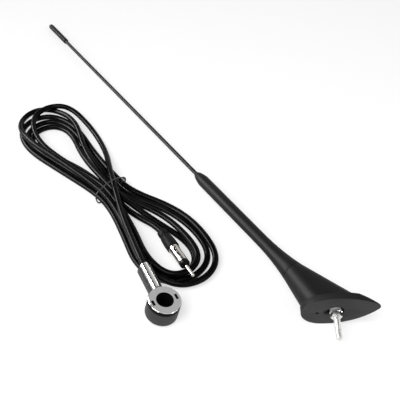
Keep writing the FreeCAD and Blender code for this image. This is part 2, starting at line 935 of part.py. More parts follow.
def plain_node(name, shape):
    feature = doc.addObject("Part::Feature", name)
    feature.Label = name
    feature.Shape = shape
    nodes.append(feature)
    return feature


def make_cable_tail(name, points):
    """A round tube of cable along a route of straight runs and arcs."""
    route, radii = rounded_route(points)
    along = points[1] - points[0]
    ring = Part.Wire(Part.Circle(points[0], along, float(size["cable_dia"]) / 2).toShape())
    tube = route.makePipeShell([ring], True, True)
    expected = math.pi * float(size["cable_dia"]) ** 2 / 4 * route.Length
    print(name, "length", round(route.Length, 1), "bend radii", radii)
    print(name, "volume against length", round(tube.Volume / expected, 4))
    return plain_node(name, tube)


def make_cable_hank():
    """The hank's outer shape: open loops drawn in by the tie between them."""
    height = float(size["hank_height"])
    solids = []
    for outline in [HANK_EDGE] + HANK_LOOPS:
        wire = rounded_route([Vector(x, y, 0) for x, y in outline], closed=True)[0]
        solids.append(Part.Face(wire).extrude(Vector(0, 0, height)))
    slab = tie_box(float(clearance), float(size["tie_span"]), -float(size["tie_wire"]), height * 2)
    core = tie_box(float(clearance), -float(fit), float(size["tie_wire"] + fit), height)
    return plain_node("cable_hank", solids[0].cut(solids[1:]).cut(slab.cut(core)))


def tie_box(thicker, wider, low, high):
    """An upright box square to the hank at the tie, from a low to a high level."""
    width = float(size["tie_width"]) + 2 * thicker
    span = float(size["tie_span"]) + 2 * wider
    box = Part.makeBox(width, span, high - low, Vector(-width / 2, -span / 2, low))
    box.Placement = Placement(TIE_PLACE, Rotation(Vector(0, 0, 1), TIE_TURN))
    return box


def make_cable_tie():
    """The tie as a flat closed band round the hank."""
    body = new_body("cable_tie")
    half = size["tie_span"] / 2
    wire = size["tie_wire"]
    outer = half + wire
    top = size["hank_height"] + fit
    band = new_sketch(body, "YZ_Plane")
    draw_profile(band, rectangle(-outer, outer, Size(0, "0"), top + wire))
    draw_profile(band, rectangle(-half, half, wire, top))
    strip = padded(body, band, size["tie_width"])
    strip.Midplane = True
    body.Placement = Placement(TIE_PLACE, Rotation(Vector(0, 0, 1), TIE_TURN))
    return body


def antenna_turn(pitch):
    """The antenna's turn on its flank: stud towards the front, toe to the right."""
    on_flank = Rotation(Vector(1, 0, 0), -90)
    rolled = Rotation(Vector(0, 1, 0), LIE_ROLL)
    pitched = Rotation(Vector(1, 0, 0), pitch)
    return Rotation(Vector(0, 0, 1), LIE_YAW) * pitched * rolled * on_flank


def lowest(shape, placement):
    moved = shape.copy()
    moved.Placement = placement
    return moved.optimalBoundingBox(False).ZMin


def lying_turn(mast_pose, gasket, cap):
    """Pitches the antenna until its rim and its tip are level on the table."""
    pitch = 0.0
    for step in range(6):
        turn = Placement(Vector(), antenna_turn(pitch))
        drop = lowest(cap.Shape, turn * mast_pose) - lowest(gasket.Shape, turn)
        pitch -= math.degrees(math.atan2(drop, float(size["mast_reach"] * size["mast_lean"].cosine())))
    return antenna_turn(pitch)


def lay_antenna(foot_parts, mast_parts, gasket, cap):
    """Puts the antenna's pieces in place, its box centred over the origin."""
    leaning = Rotation(Vector(0, -1, 0), float(size["mast_lean"]))
    mast_pose = Placement(Vector(float(size["mast_offset"]), 0, 0), leaning)
    turn = Placement(Vector(), lying_turn(mast_pose, gasket, cap))
    box = FreeCAD.BoundBox()
    for body in foot_parts + mast_parts:
        moved = body.Shape.copy()
        moved.Placement = turn * mast_pose if body in mast_parts else turn
        box.add(moved.optimalBoundingBox(False))
    pose = Placement(Vector(-box.Center.x, -box.Center.y, -box.ZMin), turn.Rotation)
    for body in foot_parts:
        body.Placement = pose
    for body in mast_parts:
        body.Placement = pose * mast_pose
    return pose, pose * mast_pose


def lay_ring(parts):
    """Leans the ring connector on the lower edge of its cup."""
    lean = Rotation(Vector(0, 1, 0), RING_LEAN) * Rotation(Vector(0, 0, 1), RING_TURN)
    lean_angle = math.radians(RING_LEAN)
    edge_round = float(size["cup_round"])
    level = float(size["cup_dia"]) / 2 - edge_round
    lift = level * math.sin(lean_angle) + edge_round * (1 - math.cos(lean_angle))
    pose = Placement(RING_PLACE + Vector(0, 0, lift), lean)
    for body in parts:
        body.Placement = pose
    return pose


def lay_plug(parts):
    pose = Placement(PLUG_START, Rotation(Vector(0, 0, 1), PLUG_END - PLUG_START))
    for body in parts:
        body.Placement = pose
    return pose


def tail_route(points, pose, mouth, inward):
    """A free end's route: its chosen points, a straight lead-in, then its seat in the fitting."""
    lead_in = pose.multVec(mouth - inward * float(size["cable_lead_in"]))
    seat = pose.multVec(mouth + inward * float(size["cable_seat"]))
    return [Vector(*point) for point in points] + [lead_in, seat]


def check_model():
    """Stops if any feature failed or any sub-part has no valid solid."""
    for item in doc.Objects:
        if "Invalid" in item.State or "Error" in item.State:
            raise RuntimeError(f"{item.Name} failed: {item.State}")
    for node in nodes:
        if node.Shape.isNull() or not node.Shape.isValid() or not node.Shape.Solids:
            raise RuntimeError(f"{node.Label} has no valid solid")


def write_parts():
    os.makedirs("parts", exist_ok=True)
    for node in nodes:
        node.Shape.exportStep(os.path.join("parts", node.Label + ".step"))


def main():
    gasket = make_foot_gasket()
    foot_parts = [
        gasket,
        make_foot_housing(),
        make_carrier_plate(),
        make_mounting_stud(),
        make_contact_strap(),
        make_lock_washer(),
        make_hex_nut(),
    ]
    cap = make_tip_cap()
    mast_parts = [
        cap,
        make_whip_rod(),
        make_mast_sleeve(),
        make_mast_ferrule(),
        make_mast_seal(),
        make_foot_bush(),
    ]
    ring_parts = [make_ring_body(), make_ring_contact(), make_contact_disc()]
    plug_parts = [make_plug_boot(), make_plug_sleeve(), make_plug_insulator(), make_plug_pin()]
    make_cable_tie()
    doc.recompute()
    foot_pose, mast_pose = lay_antenna(foot_parts, mast_parts, gasket, cap)
    ring_pose = lay_ring(ring_parts)
    plug_pose = lay_plug(plug_parts)
    barrel_mouth = Vector(float(size["barrel_end"]), 0, float(size["barrel_height"]))
    make_cable_tail("cable_ring_tail", tail_route(RING_TAIL, ring_pose, barrel_mouth, Vector(-1, 0, 0)))
    make_cable_tail("cable_plug_tail", tail_route(PLUG_TAIL, plug_pose, Vector(), Vector(0, 0, 1)))
    make_cable_hank()
    doc.recompute()
    check_model()
    write_parts()
    for name, pose in (("foot", foot_pose), ("mast", mast_pose), ("ring", ring_pose), ("plug", plug_pose)):
        print(name, "at", pose.Base, "axis", pose.Rotation.multVec(Vector(0, 0, 1)))
    print("metres along the thread per radian", float(size["thread_pitch"]) / 1000 / (2 * math.pi))


main()
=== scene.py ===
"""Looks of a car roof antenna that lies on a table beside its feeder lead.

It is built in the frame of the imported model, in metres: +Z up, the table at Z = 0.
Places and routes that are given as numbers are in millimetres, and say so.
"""

import json
import logging
import math
from dataclasses import dataclass
from enum import Enum

import bmesh
import bpy
from mathutils import Matrix, Vector


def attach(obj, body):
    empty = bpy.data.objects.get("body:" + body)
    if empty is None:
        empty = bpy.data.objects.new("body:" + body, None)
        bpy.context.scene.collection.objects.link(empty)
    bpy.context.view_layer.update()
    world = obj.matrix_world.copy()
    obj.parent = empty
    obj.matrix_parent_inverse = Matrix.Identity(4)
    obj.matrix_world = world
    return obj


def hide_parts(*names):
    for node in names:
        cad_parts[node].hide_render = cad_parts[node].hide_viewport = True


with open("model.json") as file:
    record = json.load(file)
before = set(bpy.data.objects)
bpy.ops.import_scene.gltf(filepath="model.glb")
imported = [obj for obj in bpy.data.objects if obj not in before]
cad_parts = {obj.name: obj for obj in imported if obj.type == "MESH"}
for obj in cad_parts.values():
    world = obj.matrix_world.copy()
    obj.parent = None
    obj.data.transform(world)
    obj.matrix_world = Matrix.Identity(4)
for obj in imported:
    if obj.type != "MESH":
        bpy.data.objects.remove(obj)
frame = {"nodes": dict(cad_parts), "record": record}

log = logging.getLogger("antenna")

MM = 0.001
# Past the whole part, in metres
FAR = 1.0

Colour = tuple[float, float, float]
Pair = tuple[float, float]
Triple = tuple[float, float, float]


class Value:
    """The output of a node, used in Python expressions."""

    def __init__(self, graph: "NodeMaker", socket: bpy.types.NodeSocket) -> None:
        """Keeps the socket and the node maker that it belongs to.

        Args:
            graph: The tree's node maker.
            socket: The output socket that carries the value.
        """
        self.graph = graph
        self.socket = socket

    def _math(self, operation: str, first: "Value | float", second: "Value | float") -> "Value":
        """Adds a Math node.

        Args:
            operation: The node's operation.
            first: Its first input.
            second: Its second input.

        Returns:
            The node's output.
        """
        return self.graph.node("ShaderNodeMath", {"operation": operation}, {0: first, 1: second})

    def __add__(self, other: "Value | float") -> "Value":
        """Sum."""
        return self._math("ADD", self, other)

    def __radd__(self, other: float) -> "Value":
        """Sum with a number on the left."""
        return self._math("ADD", other, self)

    def __sub__(self, other: "Value | float") -> "Value":
        """Difference."""
        return self._math("SUBTRACT", self, other)

    def __rsub__(self, other: float) -> "Value":
        """Difference from a number on the left."""
        return self._math("SUBTRACT", other, self)

    def __mul__(self, other: "Value | float") -> "Value":
        """Product."""
        return self._math("MULTIPLY", self, other)

    def __rmul__(self, other: float) -> "Value":
        """Product with a number on the left."""
        return self._math("MULTIPLY", other, self)

    def __truediv__(self, other: "Value | float") -> "Value":
        """Quotient."""
        return self._math("DIVIDE", self, other)

    def wave(self) -> "Value":
        """A triangle wave from 0 to 1 and back for each whole number."""
        return 2.0 * self._math("PINGPONG", self, 0.5)

    def least(self, other: "Value | float") -> "Value":
        """The smaller of two values."""
        return self._math("MINIMUM", self, other)

    def most(self, other: "Value | float") -> "Value":
        """The larger of two values."""
        return self._math("MAXIMUM", self, other)

    def above(self, limit: "Value | float") -> "Value":
        """1 where the value is over a limit, 0 elsewhere."""
        return self._math("GREATER_THAN", self, limit)

    def sine(self) -> "Value":
        """Sine of an angle in radians."""
        return self._math("SINE", self, 0.0)

    def cosine(self) -> "Value":
        """Cosine of an angle in radians."""
        return self._math("COSINE", self, 0.0)

    def step(self, low: float, high: float) -> "Value":
        """Rises smoothly from 0 at low to 1 at high.

        Args:
            low: Where the rise starts.
            high: Where it ends.

        Returns:
            A value from 0 to 1.
        """
        settings = {"interpolation_type": "SMOOTHSTEP"}
        return self.graph.node("ShaderNodeMapRange", settings, {"Value": self, 1: low, 2: high})

    def between(self, low: float, high: float, soft: float) -> "Value":
        """1 between two limits, 0 outside them.

        Args:
            low: The lower limit.
            high: The upper limit.
            soft: How far the change reaches to each side of a limit.

        Returns:
            A value from 0 to 1.
        """
        return self.step(low - soft, low + soft) * (1.0 - self.step(high - soft, high + soft))


class NodeMaker:
    """Makes the nodes of one tree."""

    def __init__(self, tree: bpy.types.NodeTree) -> None:
        """Keeps the tree.

        Args:
            tree: The tree that gets the nodes.
        """
        self.tree = tree

    def node(
        self,
        kind: str,
        settings: dict | None = None,
        inputs: dict | None = None,
        output: int | str = 0,
    ) -> Value:
        """Makes a node.

        Args:
            kind: The node's type.
            settings: Its options, set before its sockets.
            inputs: Values or links for its input sockets, by name or number.
            output: The output socket that is wanted.

        Returns:
            That output.
        """
        made = self.tree.nodes.new(kind)
        for key, value in (settings or {}).items():
            setattr(made, key, value)
        for key, value in (inputs or {}).items():
            self.feed(made.inputs[key], value)
        return Value(self, made.outputs[output])

    def feed(self, socket: bpy.types.NodeSocket, value: "Value | float | tuple") -> None:
        """Links a value to a socket, or sets the socket to a constant.

        Args:
            socket: The input socket.
            value: A node's output, a number or a vector.
        """
        if isinstance(value, Value):
            self.tree.links.new(value.socket, socket)
        else:
            socket.default_value = value

    def ray(self, *kinds: str) -> Value:
        """1 for rays of some kinds, 0 for others.

        Args:
            kinds: Outputs of the Light Path node.

        Returns:
            The share, from 0 to 1.
        """
        path = self.tree.nodes.new("ShaderNodeLightPath")
        share = Value(self, path.outputs[kinds[0]])
        for kind in kinds[1:]:
            share = share + Value(self, path.outputs[kind])
        return share.least(1.0)


class Graph(NodeMaker):
    """Makes the nodes of one material."""

    def __init__(self, name: str) -> None:
        """Starts a material with one Principled shader.

        Args:
            name: The material's name.
        """
        self.material = bpy.data.materials.new(name)
        self.material.use_nodes = True
        super().__init__(self.material.node_tree)
        self.shader = self.tree.nodes["Principled BSDF"]

    def place(self) -> Value:
        """The point of the surface in the model's frame."""
        return self.node("ShaderNodeTexCoord", output="Object")

    def noise(self, size: float, detail: float = 3.0, vector: Value | None = None) -> Value:
        """Cloudy noise from about 0 to 1.

        Args:
            size: The size of its blotches in metres.
            detail: How many finer layers it has.
            vector: Where it is read; the surface's own place if left out.

        Returns:
            The noise.
        """
        inputs = {"Vector": vector or self.place(), "Scale": 1.0 / size, "Detail": detail}
        return self.node("ShaderNodeTexNoise", None, inputs)

    def along(self, axis: Triple, vector: Value | None = None) -> Value:
        """How far a vector reaches along an axis.

        Args:
            axis: The direction.
            vector: The vector; the surface's own place if left out.

        Returns:
            The distance, in the vector's own unit.
        """
        inputs = {0: vector or self.place(), 1: axis}
        return self.node("ShaderNodeVectorMath", {"operation": "DOT_PRODUCT"}, inputs, "Value")

    def away(self, axis: Triple, origin: Triple) -> Value:
        """How far from an axis the surface's point lies.

        Args:
            axis: The axis's direction.
            origin: A point of it, in millimetres.

        Returns:
            The distance in metres.
        """
        start = tuple(part * MM for part in origin)
        arm = self.node("ShaderNodeVectorMath", {"operation": "SUBTRACT"}, {0: self.place(), 1: start})
        swept = self.node("ShaderNodeVectorMath", {"operation": "CROSS_PRODUCT"}, {0: arm, 1: axis})
        return self.node("ShaderNodeVectorMath", {"operation": "LENGTH"}, {0: swept}, "Value")

    def rings(self, axis: Triple, pitch: float) -> Value:
        """Fine turning marks round an axis.

        Args:
            axis: The direction of the axis.
            pitch: The usual distance between marks in metres.

        Returns:
            A value from about 0 to 1.
        """
        inputs = {"W": self.along(axis), "Scale": 1.0 / pitch, "Detail": 2.0}
        return self.node("ShaderNodeTexNoise", {"noise_dimensions": "1D"}, inputs)

    def mix(self, share: Value, first: Colour, second: Colour) -> Value:
        """Goes from one colour to another.

        Args:
            share: 0 for the first colour, 1 for the second.
            first: The first colour.
            second: The second colour.

        Returns:
            The mixed colour.
        """
        return self.blend(share, (*first, 1.0), second)

    def blend(self, share: Value, first: "Value | tuple", second: Colour) -> Value:
        """Goes from a colour that may vary to a plain one.

        Args:
            share: 0 for the first colour, 1 for the second.
            first: The first colour, as a value or with its alpha.
            second: The second colour.

        Returns:
            The mixed colour.
        """
        inputs = {"Factor": share, 6: first, 7: (*second, 1.0)}
        return self.node("ShaderNodeMix", {"data_type": "RGBA"}, inputs, 2)

    def bump(self, height: Value, depth: float) -> Value:
        """A normal bent by a height.

        Args:
            height: The height, from 0 to 1.
            depth: How deep 1 is, in metres.

        Returns:
            The normal.
        """
        return self.node("ShaderNodeBump", None, {"Height": height, "Distance": depth})

    def finish(self, **inputs: "Value | float | tuple") -> bpy.types.Material:
        """Feeds the shader and hands over the material.

        Args:
            inputs: The shader's sockets, with an underscore for each space.

        Returns:
            The material.
        """
        for key, value in inputs.items():
            self.feed(self.shader.inputs[key.replace("_", " ")], value)
        return self.material


class ShapeTree(NodeMaker):
    """A Geometry Nodes tree with named sizes that makes one piece."""

    def __init__(self, name: str) -> None:
        """Starts an empty tree.

        Args:
            name: The name of the tree and of the piece.
        """
        super().__init__(bpy.data.node_groups.new(name, "GeometryNodeTree"))
        self.tree.interface.new_socket("Geometry", in_out="OUTPUT", socket_type="NodeSocketGeometry")
        self.entry = self.tree.nodes.new("NodeGroupInput")
        self.sizes: dict[str, float] = {}

    def size(self, name: str, value: float) -> Value:
        """Adds a named size to the tree's inputs.

        Args:
            name: Its name.
            value: Its value, in metres or a plain number.

        Returns:
            The size, for expressions.
        """
        socket = self.tree.interface.new_socket(name, in_out="INPUT", socket_type="NodeSocketFloat")
        self.sizes[socket.identifier] = value
        return Value(self, self.entry.outputs[name])

    def joined(self, *parts: Value) -> Value:
        """Joins geometries.

        Args:
            parts: The geometries.

        Returns:
            All of them together.
        """
        made = self.tree.nodes.new("GeometryNodeJoinGeometry")
        for part in parts:
            self.tree.links.new(part.socket, made.inputs["Geometry"])
        return Value(self, made.outputs["Geometry"])

    def vector(self, x: "Value | float", y: "Value | float", z: "Value | float") -> Value:
        """A vector of three values."""
        return self.node("ShaderNodeCombineXYZ", None, {0: x, 1: y, 2: z})

    def piece(self, geometry: Value, material: bpy.types.Material, pose: Matrix) -> bpy.types.Object:
        """Ends the tree and turns it into a plain mesh in its place.

        Args:
            geometry: What the tree makes.
            material: The piece's material.
            pose: Where the piece goes.

        Returns:
            The piece.
        """
        real = self.node("GeometryNodeRealizeInstances", None, {"Geometry": geometry})
        inputs = {"Geometry": real, "Material": material}
        painted = self.node("GeometryNodeSetMaterial", None, inputs)
        leave = self.tree.nodes.new("NodeGroupOutput")
        self.tree.links.new(painted.socket, leave.inputs["Geometry"])
        name = self.tree.name
        made = new_object(name, bpy.data.meshes.new(name))
        modifier = made.modifiers.new(name, "NODES")
        modifier.node_group = self.tree
        for identifier, value in self.sizes.items():
            modifier[identifier] = value
        harden(made)
        made.data.transform(pose)
        return made


@dataclass(frozen=True)
class Zone:
    """A part of a piece that is painted another colour: between two levels of an axis, and two radii round
    it. Every zone in this script is painted shade, near-black where a recess or side falls in shade.

    The origin is a point of the axis in millimetres; the levels and radii are in metres.
    """

    axis: Triple
    origin: Triple
    colour: Colour
    levels: Pair = (-FAR, FAR)
    radii: Pair = (-FAR, FAR)
    soft: float = 0.2 * MM

    def share(self, graph: Graph) -> Value:
        """1 inside the zone, 0 outside it.

        Args:
            graph: The material's node maker.

        Returns:
            The share of the zone's colour.
        """
        start = Vector(self.origin).dot(Vector(self.axis)) * MM
        level = (graph.along(self.axis) - start).between(*self.levels, self.soft)
        return level * graph.away(self.axis, self.origin).between(*self.radii, self.soft)


def zoned(graph: Graph, colour: Value, zones: tuple[Zone, ...]) -> Value:
    """Lays the painted shade of some zones over a colour.

    Args:
        graph: The material's node maker.
        colour: The colour outside the zones.
        zones: The zones, the last one on top.

    Returns:
        The colour with its zones.
    """
    for zone in zones:
        colour = graph.blend(zone.share(graph), colour, zone.colour)
    return colour


def shaded(colour: Colour, factor: float, lift: float = 0.0) -> Colour:
    """A colour made darker or lighter.

    Args:
        colour: The colour.
        factor: What its channels are multiplied by.
        lift: What is then added to them.

    Returns:
        The new colour.
    """
    return tuple(channel * factor + lift for channel in colour)


def stained(roughness: float, stain: Value, spread: float = 0.6) -> Value:
    """A roughness that is lower where a metal is clean and higher where it is stained.

    Args:
        roughness: The roughness half-way.
        stain: 0 where the metal is clean, 1 where it is stained.
        spread: The whole change, as a share of the roughness.

    Returns:
        The roughness.
    """
    return roughness * (1.0 - spread / 2 + spread * stain)


@dataclass(frozen=True)
class Moulding:
    """A moulded plastic or rubber: a fine grain, cloudy colour and a little dust, with any zones of painted
    shade.
    """

    name: str
    colour: Colour
    roughness: float
    grain: float = 0.35 * MM
    depth: float = 0.012 * MM
    cloud: float = 22 * MM
    cloud_edge: Pair = (0.3, 0.7)
    mottle: float = 0.18
    patches: float = 0.1
    dust: float = 0.25
    dust_lift: float = 0.01
    speck_grains: float = 3.0
    speck_edge: Pair = (0.64, 0.74)
    specular: float = 0.2
    zones: tuple[Zone, ...] = ()

    def material(self) -> bpy.types.Material:
        """Makes the material.

        Returns:
            The material.
        """
        graph = Graph(self.name)
        cloud = graph.noise(self.cloud, detail=4.0)
        speck = graph.noise(self.grain * self.speck_grains, detail=1.0).step(*self.speck_edge)
        darker = shaded(self.colour, 1 - self.mottle)
        lighter = shaded(self.colour, 1 + self.mottle, self.dust_lift * self.dust)
        share = cloud.step(*self.cloud_edge) * (1 - self.dust) + speck * self.dust
        return graph.finish(
            Base_Color=zoned(graph, graph.mix(share, darker, lighter), self.zones),
            Roughness=self.roughness - self.patches / 2 + cloud * self.patches,
            Normal=graph.bump(graph.noise(self.grain, detail=2.0), self.depth),
            Specular_IOR_Level=self.specular,
        )


@dataclass(frozen=True)
class Turned:
    """A turned and plated metal, with fine marks round its axis."""

    name: str
    colour: Colour
    roughness: float
    axis: Triple
    pitch: float = 0.12 * MM
    depth: float = 0.004 * MM
    tarnish: float = 0.16
    stain_size: float = 5 * MM
    stain_edge: Pair = (0.35, 0.75)

    def material(self) -> bpy.types.Material:
        """Makes the material.

        Returns:
            The material.
        """
        graph = Graph(self.name)
        stain = graph.noise(self.stain_size, detail=4.0).step(*self.stain_edge)
        return graph.finish(
            Base_Color=graph.mix(stain, self.colour, shaded(self.colour, 1 - self.tarnish)),
            Metallic=1.0,
            Roughness=stained(self.roughness, stain),
            Normal=graph.bump(graph.rings(self.axis, self.pitch), self.depth),
        )


@dataclass(frozen=True)
class Brushed:
    """A plated stamping: polished all over, but brushed dull on the faces square to an axis, with any zones
    of painted shade.
    """

    name: str
    colour: Colour
    face_colour: Colour
    axis: Triple
    polish: float = 0.12
    brush: float = 0.42
    facing: Pair = (0.93, 0.99)
    hair_width: float = 0.25 * MM
    hair_scale: Triple = (1.0, 0.04, 1.0)
    hair_share: float = 0.25
    hair_depth: float = 0.004 * MM
    stain_size: float = 4 * MM
    zones: tuple[Zone, ...] = ()

    def material(self) -> bpy.types.Material:
        """Makes the material.

        Returns:
            The material.
        """
        graph = Graph(self.name)
        normal = graph.node("ShaderNodeTexCoord", output="Normal")
        face = graph.along(self.axis, normal).step(*self.facing)
        stretch = {"Vector": graph.place(), "Scale": self.hair_scale}
        stretched = graph.node("ShaderNodeMapping", None, stretch)
        hair = graph.noise(self.hair_width, detail=2.0, vector=stretched)
        stain = graph.noise(self.stain_size, detail=3.0)
        share = face * (1 - self.hair_share + self.hair_share * hair)
        return graph.finish(
            Base_Color=zoned(graph, graph.mix(share, self.colour, self.face_colour), self.zones),
            Metallic=1.0,
            Roughness=stained(self.polish, stain) + face * (self.brush - self.polish),
            Normal=graph.bump(hair, self.hair_depth),
        )


@dataclass(frozen=True)
class Jacket:
    """The cable's smooth jacket, with a faint grain and dull patches from handling."""

    name: str
    colour: Colour
    roughness: float
    patch_size: float = 14 * MM
    patch_edge: Pair = (0.38, 0.72)
    patch_factor: float = 1.5
    patch_lift: float = 0.001
    patch_rough: float = 0.1
    grain: float = 0.9 * MM
    grain_rough: float = 0.05
    depth: float = 0.015 * MM
    specular: float = 0.055

    def material(self) -> bpy.types.Material:
        """Makes the material.

        Returns:
            The material.
        """
        graph = Graph(self.name)
        patch = graph.noise(self.patch_size, detail=4.0).step(*self.patch_edge)
        fine = graph.noise(self.grain, detail=3.0)
        lighter = shaded(self.colour, self.patch_factor, self.patch_lift)
        return graph.finish(
            Base_Color=graph.mix(patch, self.colour, lighter),
            Roughness=self.roughness + self.patch_rough * patch + self.grain_rough * fine,
            Normal=graph.bump(fine, self.depth),
            Specular_IOR_Level=self.specular,
        )


# Places in millimetres, and directions
FOOT_PLACE = (134.212, -222.849, 19.017)
FOOT_TOE = (0.977005, -0.028538, 0.211299)
STUD_AXIS = (0.0059, 0.99424, 0.1070)
PEG_BEHIND = 14.2
PEG_PLACE = tuple(start - PEG_BEHIND * step for start, step in zip(FOOT_PLACE, FOOT_TOE))
RING_PLACE = (-1.9, -212.2, 2.6553)
RING_AXIS = (0.21985, 0.0, 0.97553)
PLUG_PLACE = (-4.3, -130.1, 9.5)
PLUG_AXIS = (0.44157, -0.88625, 0.13993)
UPRIGHT = (0.0, 0.0, 1.0)
TIE_PLACE = (-55.9, -73.2)
TIE_AZIMUTH = math.radians(49.5)
TIE_LINE = Vector((math.cos(TIE_AZIMUTH), math.sin(TIE_AZIMUTH)))

# Painted shade: the near-black laid on recesses, hidden sides and the contact disc where they fall in shade
PAINTED_SHADE_BLACK = (0.0015, 0.0015, 0.0015)
# Painted shade: the gasket is painted darker on every face more than 0.35 mm above its underside, standing in
# for the shade on its sides
SIDE_SHADE_BLACK = (0.008, 0.008, 0.008)
GASKET_SIDE_SHADE = Zone(STUD_AXIS, FOOT_PLACE, SIDE_SHADE_BLACK, levels=(0.35 * MM, FAR))
# Painted shade: the peg hole in the gasket is painted near-black inside
PEG_HOLE_SHADE = Zone(STUD_AXIS, PEG_PLACE, PAINTED_SHADE_BLACK, radii=(-FAR, 1.2 * MM))
# Painted shade: the ring body's neck and top under the ring contact are painted near-black
CUP_NECK_SHADE = Zone(RING_AXIS, RING_PLACE, PAINTED_SHADE_BLACK, levels=(13.4 * MM, FAR), radii=(-FAR, 14.4 * MM))
# Painted shade: the recess of the ring body, within 7.9 mm of its axis, is painted near-black
CUP_RECESS_SHADE = Zone(RING_AXIS, RING_PLACE, PAINTED_SHADE_BLACK, radii=(-FAR, 7.9 * MM))
# Painted shade: the ring contact is painted near-black below its top face and inside its rim, where it sits
# down in the cup
RING_UNDER_SHADE = Zone(RING_AXIS, RING_PLACE, PAINTED_SHADE_BLACK, levels=(-FAR, 17.35 * MM), radii=(-FAR, 14.2 * MM))


class Finish(Enum):
    """The finishes of the part, one or more for each of the record's material slots."""

    SOFT_BLACK = Moulding("soft_black", (0.004, 0.004, 0.0042), 0.53, dust=0.1, specular=0.12)
    WHIP_BLACK = Moulding(
        "whip_black", (0.006, 0.006, 0.0062), 0.45, grain=0.2 * MM, cloud=9 * MM, dust=0.1, specular=0.13
    )
    RUBBER = Moulding(
        "rubber",
        (0.03, 0.03, 0.0306),
        0.66,
        depth=0.02 * MM,
        dust=0.3,
        specular=0.12,
        # painted shade on the gasket's sides and in its peg hole
        zones=(GASKET_SIDE_SHADE, PEG_HOLE_SHADE),
    )
    SEAL = Moulding("seal_rubber", (0.003, 0.003, 0.003), 0.6, dust=0.1, specular=0.1)
    GREY_PLASTIC = Moulding(
        "grey_plastic",
        (0.034, 0.034, 0.034),
        0.5,
        grain=0.25 * MM,
        specular=0.14,
        # painted shade on the ring body's neck and in its recess
        zones=(CUP_NECK_SHADE, CUP_RECESS_SHADE),
    )
    BOOT_PLASTIC = Moulding(
        "boot_plastic", (0.006, 0.006, 0.006), 0.5, grain=0.25 * MM, dust=0.1, specular=0.05
    )
    BLACK_PLASTIC = Moulding(
        "black_plastic", (0.002, 0.002, 0.002), 0.35, grain=0.2 * MM, dust=0.05, specular=0.08
    )
    # Painted shade: the metal contact disc at the floor of the ring's recess is painted near-black for the
    # shade of the deep recess
    CONTACT_DISC_SHADE = Moulding("black_oxide", PAINTED_SHADE_BLACK, 0.45, grain=0.2 * MM, dust=0.02, specular=0.05)
    TIE_PLASTIC = Moulding(
        "tie_plastic", (0.024, 0.024, 0.024), 0.36, grain=0.15 * MM, dust=0.1, specular=0.3
    )
    CAST_ALLOY = Moulding("cast_alloy", (0.3, 0.3, 0.31), 0.6, grain=0.4 * MM, depth=0.03 * MM)
    PLATED_STEEL = Turned("plated_steel", (0.78, 0.78, 0.77), 0.26, STUD_AXIS)
    # the ring contact carries painted shade below its top face
    NICKEL = Brushed("nickel", (0.9, 0.9, 0.89), (0.68, 0.68, 0.68), RING_AXIS, zones=(RING_UNDER_SHADE,))
    PLUG_NICKEL = Turned("plug_nickel", (0.5, 0.48, 0.45), 0.15, PLUG_AXIS)
    BRASS = Turned("brass", (0.78, 0.58, 0.28), 0.3, RING_AXIS)
    CABLE_JACKET = Jacket("cable_jacket", (0.0008, 0.0008, 0.0009), 0.24)


class Wardrobe:
    """Makes each finish once and dresses the model's nodes and new pieces."""

    def __init__(self) -> None:
        """Starts with no finish made."""
        self.made: dict[Finish, bpy.types.Material] = {}

    def material(self, finish: Finish) -> bpy.types.Material:
        """The material of a finish, made at its first use.

        Args:
            finish: The finish.

        Returns:
            Its material.
        """
        if finish not in self.made:
            self.made[finish] = finish.value.material()
        return self.made[finish]

    def dress(self, piece: bpy.types.Object, finish: Finish) -> None:
        """Gives a piece one finish all over.

        Args:
            piece: The object.
            finish: Its finish.
        """
        piece.data.materials.clear()
        piece.data.materials.append(self.material(finish))

    def dress_nodes(self, finish: Finish, *names: str) -> None:
        """Gives some of the model's nodes a finish.

        Args:
            finish: Their finish.
            names: The nodes' names.
        """
        for name in names:
            self.dress(frame["nodes"][name], finish)
            log.info("%s dressed in %s", name, finish.name.lower())


def new_object(name: str, data: bpy.types.ID) -> bpy.types.Object:
    """Puts an object in the scene.

    Args:
        name: Its name.
        data: Its mesh, curve, light or camera.

    Returns:
        The object.
    """
    made = bpy.data.objects.new(name, data)
    bpy.context.scene.collection.objects.link(made)
    return made


def final_mesh(piece: bpy.types.Object) -> bpy.types.Mesh:
    """The mesh of a curve, or of a piece with modifiers.

    Args:
        piece: The object.

    Returns:
        A new mesh.
    """
    graph = bpy.context.evaluated_depsgraph_get()
    return bpy.data.meshes.new_from_object(piece.evaluated_get(graph), depsgraph=graph)


def harden(piece: bpy.types.Object) -> None:
    """Turns a piece with modifiers into a plain mesh.

    Args:
        piece: The object.
    """
    mesh = final_mesh(piece)
    piece.modifiers.clear()
    piece.data = mesh


def smooth_faces(mesh: bpy.types.Mesh, angle: float) -> None:
    """Shades a mesh smooth, apart from its sharp edges.

    Args:
        mesh: The mesh.
        angle: The angle in degrees from which an edge is sharp.
    """
    mesh.polygons.foreach_set("use_smooth", [True] * len(mesh.polygons))
    mesh.set_sharp_from_angle(angle=math.radians(angle))


def draw_line(name: str, points: list[Vector], radius: float, bevel: int, steps: int) -> bpy.types.Object:
    """Draws a round wire or cable along one smooth line.

    Args:
        name: Its name.
        points: The control points of its line, in metres.
        radius: Its radius in metres.
        bevel: How finely it is rounded.
        steps: How many steps the line makes from point to point.

    Returns:
        The curve.
    """
    curve = bpy.data.curves.new(name, "CURVE")
    curve.dimensions = "3D"
    curve.bevel_depth = radius
    curve.bevel_resolution = bevel
    curve.resolution_u = steps
    curve.use_fill_caps = True
    spline = curve.splines.new("NURBS")
    spline.points.add(len(points) - 1)
    for point, place in zip(spline.points, points):
        point.co = (*place, 1.0)
    spline.order_u = 3
    spline.use_endpoint_u = True
    spline.use_smooth = True
    return new_object(name, curve)


def lifted(place: Vector, level: float) -> Vector:
    """A place of the table, lifted to a level."""
    return Vector((*place, level))


